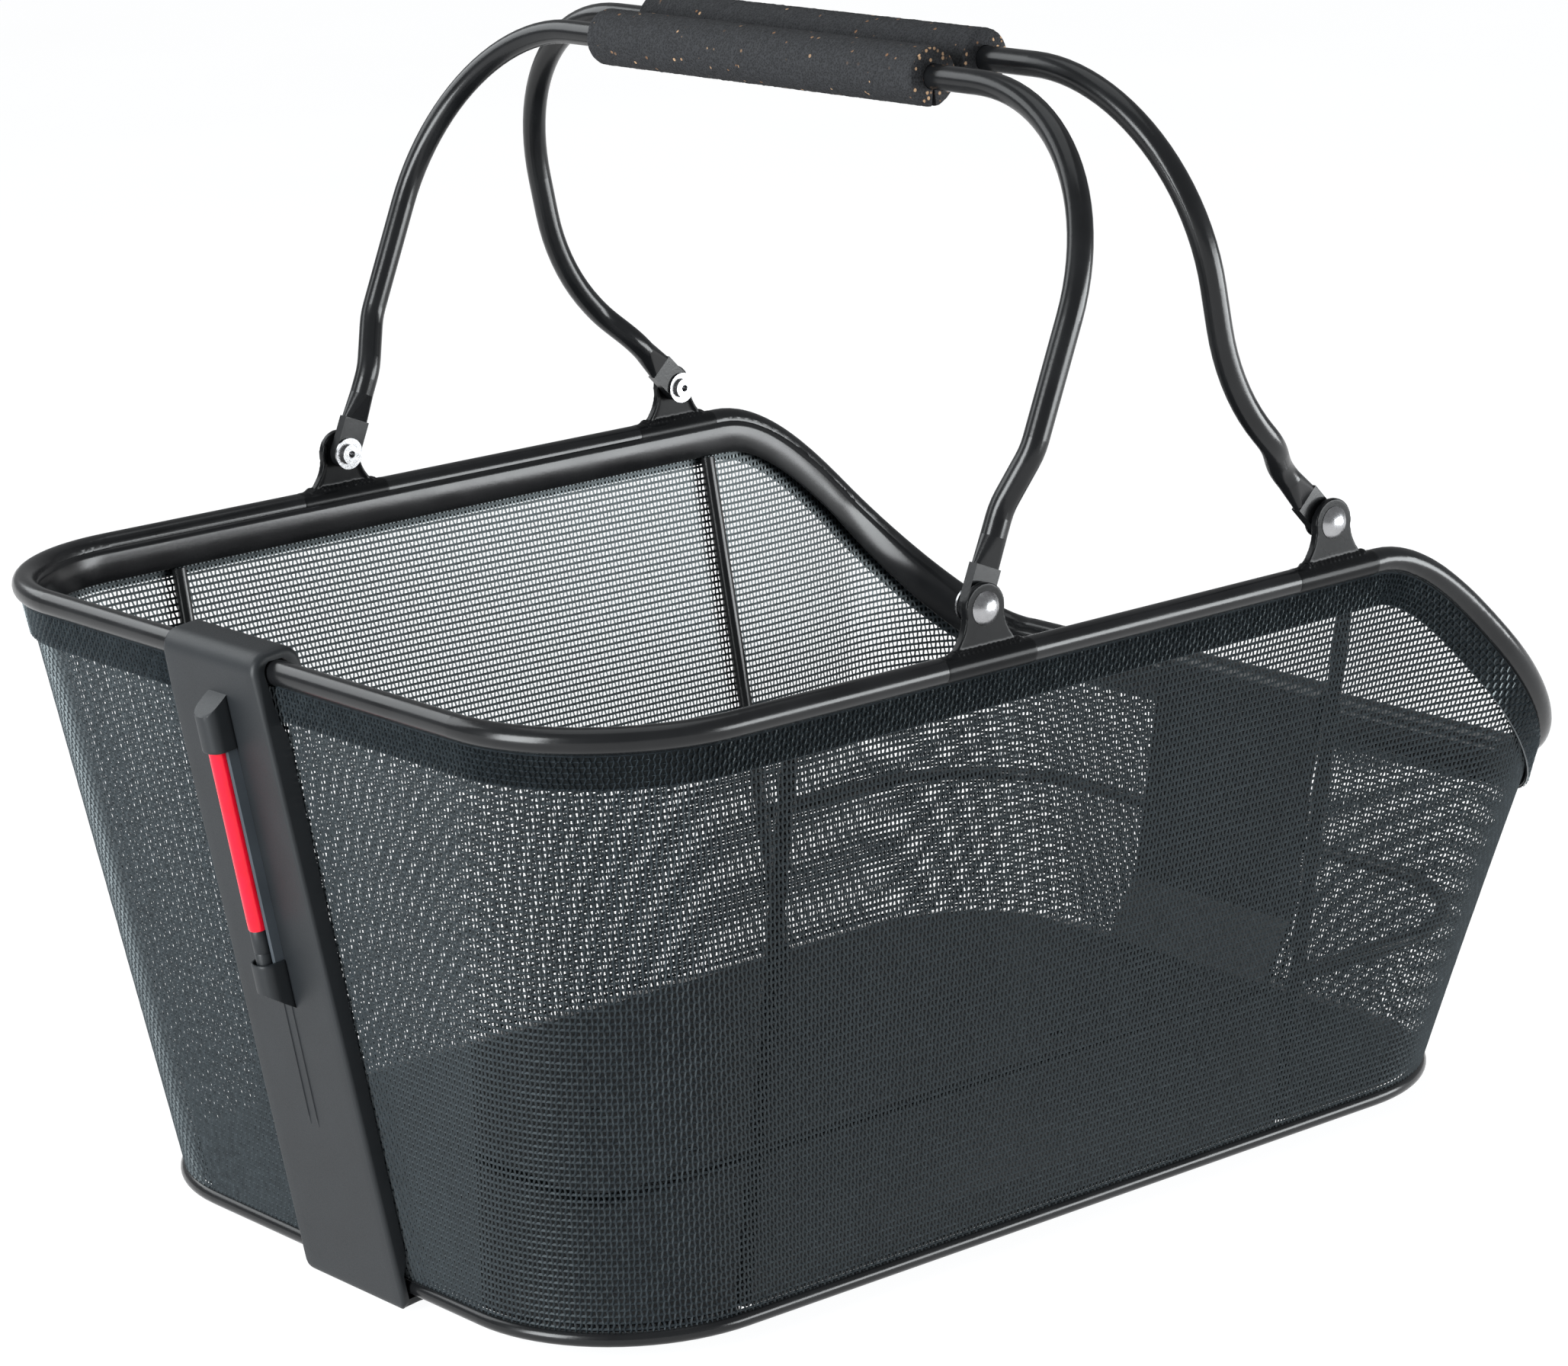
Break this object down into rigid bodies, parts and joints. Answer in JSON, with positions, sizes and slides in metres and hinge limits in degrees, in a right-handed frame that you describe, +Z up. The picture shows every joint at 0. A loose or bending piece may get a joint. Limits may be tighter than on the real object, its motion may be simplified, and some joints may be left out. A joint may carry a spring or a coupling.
{
  "type": "bicycle rear-carrier basket",
  "caption": "Mesh basket with a steel rim that dips at the saddle end, a strap with a light at the tail end, and folding bail handles with foam grips.",
  "frame": {"origin": "centre of the bounding box, on the surface that the basket stands on", "axes": "+Z up, +X along the basket's length towards the saddle end, +Y across it"},
  "size_m": [0.4468, 0.343, 0.3749],
  "materials": {
    "black_paint": "gloss",
    "mesh": "satin",
    "bright_steel": "satin",
    "spacer_plastic": "matte",
    "strap_plastic": "matte",
    "red_light": "gloss",
    "feet_rubber": "matte",
    "foam": "matte"
  },
  "bodies": {
    "basket": {"rim_tube": "black_paint", "rim_flange": "black_paint", "mesh_wall": "mesh", "mesh_hem": "mesh", "bottom_ring": "black_paint", "floor_pan": "black_paint", "floor_feet": "feet_rubber", "carrier_plate": "black_paint", "end_hoop": "black_paint", "rib_tail_left": "black_paint", "rib_tail_right": "black_paint", "rib_saddle_left": "black_paint", "rib_saddle_right": "black_paint", "ear_tail_left": "black_paint", "ear_tail_right": "black_paint", "ear_saddle_left": "black_paint", "ear_saddle_right": "black_paint", "pivot_rivets": "bright_steel", "rivet_washers": "bright_steel", "pivot_spacers": "spacer_plastic", "tail_strap": "strap_plastic", "light_socket_upper": "strap_plastic", "light_socket_lower": "strap_plastic", "light_tube": "red_light", "light_sleeve": "strap_plastic"},
    "tail_handle": {"tail_bail": "black_paint", "tail_grip": "foam"},
    "saddle_handle": {"saddle_bail": "black_paint", "saddle_grip": "foam"}
  },
  "joints": [
    {"name": "tail_handle_hinge", "type": "hinge", "parent": "basket", "child": "tail_handle", "pos_m": [-0.0566, 0, 0.2202], "axis": [0, -1, 0], "range_deg": [0, 112.5]},
    {"name": "saddle_handle_hinge", "type": "hinge", "parent": "basket", "child": "saddle_handle", "pos_m": [0.0893, 0, 0.2202], "axis": [0, 1, 0], "range_deg": [0, 148]}
  ]
}
